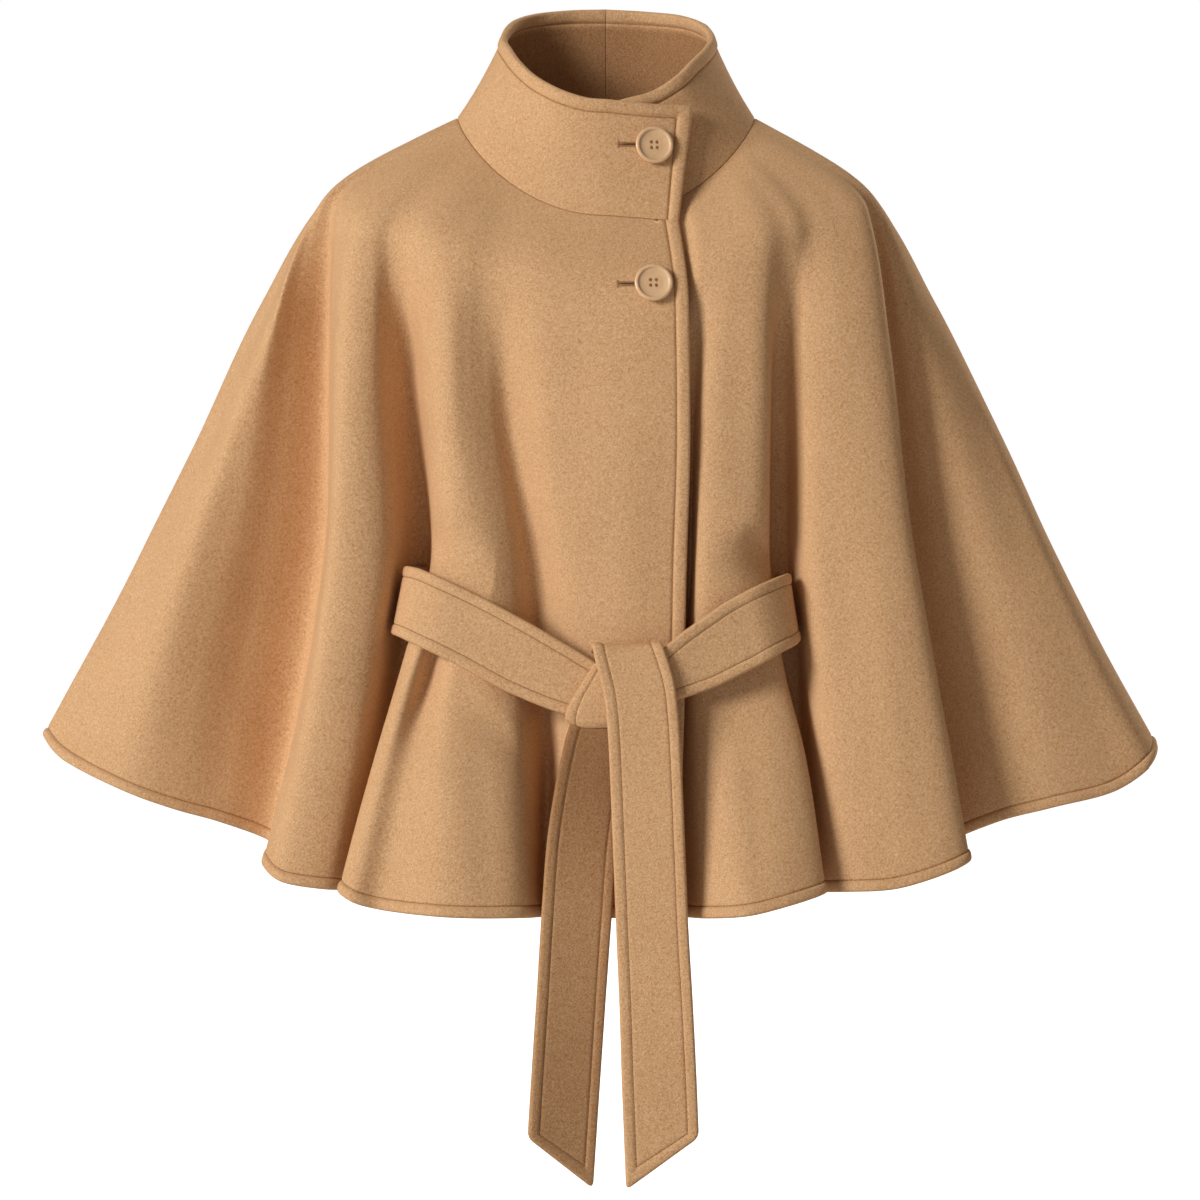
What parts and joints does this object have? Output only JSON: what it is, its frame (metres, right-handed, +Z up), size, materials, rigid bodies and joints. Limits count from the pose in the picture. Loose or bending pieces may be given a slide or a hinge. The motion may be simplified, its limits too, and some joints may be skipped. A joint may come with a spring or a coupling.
{
  "type": "belted wool cape",
  "caption": "Belted wool cape with a buttoned stand collar, a lapped front and a knotted self belt, filled out as worn.",
  "frame": {"origin": "middle of the neck opening, level with the points where the collar meets the shoulders", "axes": "+Z up, -Y out of the front, +X towards the wearer's left"},
  "size_m": [0.8256, 0.3158, 0.8673],
  "materials": {
    "wool": "brushed melton wool, matt with a soft nap",
    "wool_belt": "brushed melton wool, matt with a soft nap",
    "button": "satin polished resin"
  },
  "bodies": {
    "root": {"front_right": "wool", "front_left": "wool", "back_right": "wool", "back_left": "wool", "collar_right": "wool", "collar_left": "wool", "belt_waist": "wool_belt", "belt_knot": "wool_belt", "belt_tail_front": "wool_belt", "belt_tail_rear": "wool_belt", "button_upper": "button", "button_lower": "button"}
  },
  "joints": []
}
